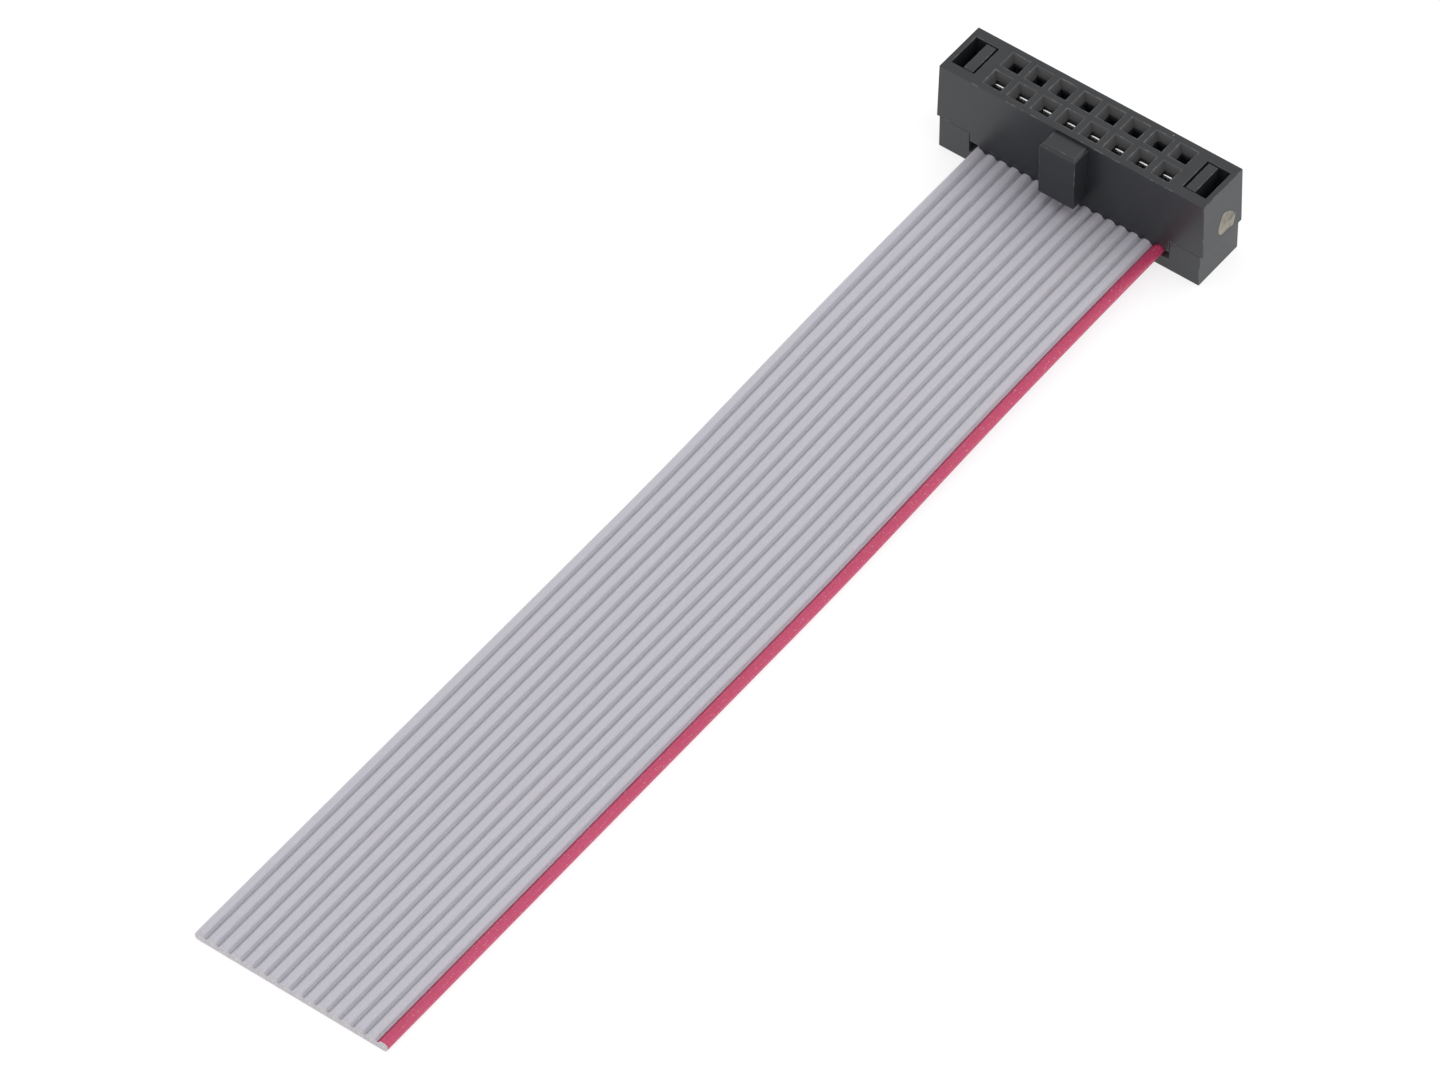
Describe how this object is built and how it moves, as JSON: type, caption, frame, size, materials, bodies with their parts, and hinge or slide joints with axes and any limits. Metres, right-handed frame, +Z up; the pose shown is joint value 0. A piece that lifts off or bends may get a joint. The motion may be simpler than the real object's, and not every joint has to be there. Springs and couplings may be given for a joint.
{
  "type": "ribbon cable with pin socket",
  "caption": "Short flat grey ribbon cable with a red edge wire, crimped in a black keyed two-row pin socket, its far end cut bare.",
  "frame": {"origin": "on the floor plane, below the middle of the contact grid: the middle of the cover's flat underside", "axes": "+X along the socket towards the red wire, -Y the way the cable leaves, +Z up towards the mating face"},
  "size_m": [0.0284, 0.1141, 0.0099],
  "materials": {
    "socket_plastic": "satin glass-filled thermoplastic, very dark grey",
    "cover_plastic": "satin glass-filled thermoplastic, very dark grey",
    "jacket_grey": "satin PVC, pale lavender grey",
    "jacket_red": "satin PVC, crimson",
    "mark_cream": "printed cream paint",
    "contact_metal": "plated copper alloy strip",
    "conductor_tin": "tinned stranded copper"
  },
  "bodies": {
    "root": {"housing": "socket_plastic", "cover": "cover_plastic", "ribbon_jacket": "jacket_grey", "contact_01": "contact_metal", "contact_02": "contact_metal", "contact_03": "contact_metal", "contact_04": "contact_metal", "contact_05": "contact_metal", "contact_06": "contact_metal", "contact_07": "contact_metal", "contact_08": "contact_metal", "contact_09": "contact_metal", "contact_10": "contact_metal", "contact_11": "contact_metal", "contact_12": "contact_metal", "contact_13": "contact_metal", "contact_14": "contact_metal", "contact_15": "contact_metal", "contact_16": "contact_metal", "conductor_01": "conductor_tin", "conductor_02": "conductor_tin", "conductor_03": "conductor_tin", "conductor_04": "conductor_tin", "conductor_05": "conductor_tin", "conductor_06": "conductor_tin", "conductor_07": "conductor_tin", "conductor_08": "conductor_tin", "conductor_09": "conductor_tin", "conductor_10": "conductor_tin", "conductor_11": "conductor_tin", "conductor_12": "conductor_tin", "conductor_13": "conductor_tin", "conductor_14": "conductor_tin", "conductor_15": "conductor_tin", "conductor_16": "conductor_tin"}
  },
  "joints": []
}
